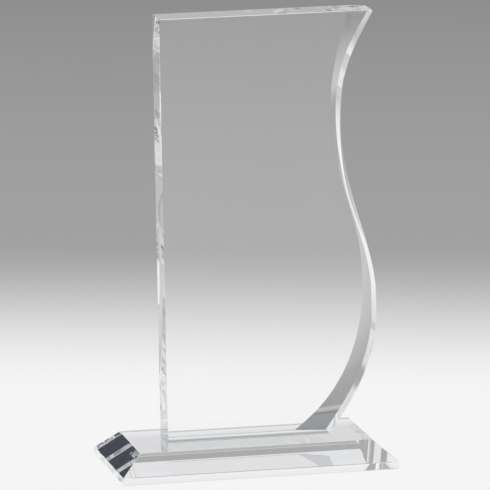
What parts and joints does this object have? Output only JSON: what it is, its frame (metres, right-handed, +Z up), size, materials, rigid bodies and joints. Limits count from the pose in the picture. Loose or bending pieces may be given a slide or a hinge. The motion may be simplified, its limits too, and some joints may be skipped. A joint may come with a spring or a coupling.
{
  "type": "crystal award",
  "caption": "Clear crystal award: an upright flat plate with one S-curved bevelled edge, bonded on a low block with sloping bevelled sides.",
  "frame": {"origin": "centre of the base block's underside, on the surface it stands on", "axes": "+Z up, +X towards the S-curved edge, -Y out of the front face"},
  "size_m": [0.131, 0.0736, 0.2125],
  "materials": {
    "plate_crystal": "polished",
    "base_crystal": "polished",
    "clear_adhesive": "clear gloss"
  },
  "bodies": {
    "root": {"base": "base_crystal", "wave_plate": "plate_crystal", "bond_film": "clear_adhesive"}
  },
  "joints": []
}
